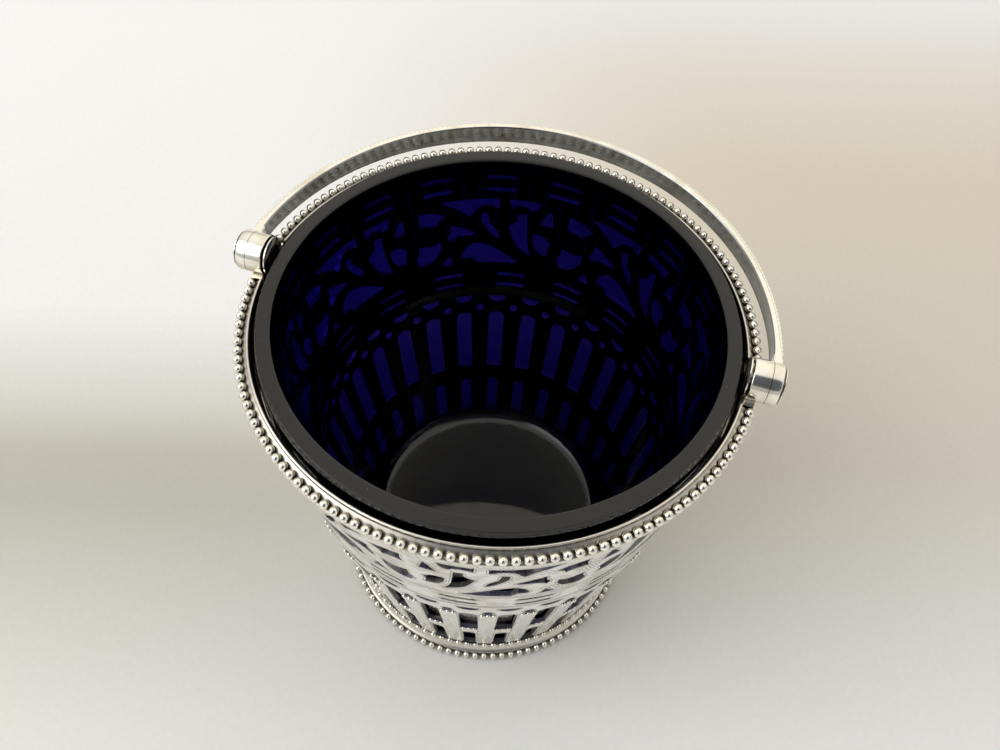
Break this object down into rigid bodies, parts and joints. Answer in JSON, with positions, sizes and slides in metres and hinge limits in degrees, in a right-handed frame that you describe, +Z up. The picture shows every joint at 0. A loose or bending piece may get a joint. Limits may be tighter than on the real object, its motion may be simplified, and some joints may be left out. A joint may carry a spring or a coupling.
{
  "type": "cream pail with bail and liner",
  "caption": "Small tapering pail with a pierced silver body, beaded rim and foot, a swing bail on barrel hinges and a thick lift-out blue glass liner.",
  "frame": {"origin": "centre of the flat underside of the base, which stands on the table", "axes": "+Z up along the pail's axis, X along the axis of the bail's hinges, +Y towards the side that the bail lies folded back over"},
  "size_m": [0.081, 0.0791, 0.0715],
  "materials": {
    "silver": "polished",
    "beaded_silver": "polished, dark in the recesses",
    "cobalt_glass": "polished"
  },
  "bodies": {
    "pail": {"pierced_wall": "silver", "base_disc": "silver", "foot_band": "silver", "foot_beading": "beaded_silver", "rim_band": "silver", "rim_beading_back": "beaded_silver", "rim_beading_front": "beaded_silver", "lug_right": "silver", "lug_left": "silver", "hinge_pin_right": "silver", "hinge_pin_left": "silver"},
    "bail": {"bail_strap": "silver", "bail_wire_upper": "beaded_silver", "bail_wire_lower": "beaded_silver"},
    "liner": {"glass_liner": "cobalt_glass"}
  },
  "joints": [
    {"name": "bail_swing", "type": "hinge", "parent": "pail", "child": "bail", "pos_m": [0, 0, 0.0684], "axis": [1, 0, 0], "range_deg": [0, 180]},
    {"name": "liner_lift", "type": "slide", "parent": "pail", "child": "liner", "axis": [0, 0, 1], "range_m": [0, 0.075]}
  ]
}
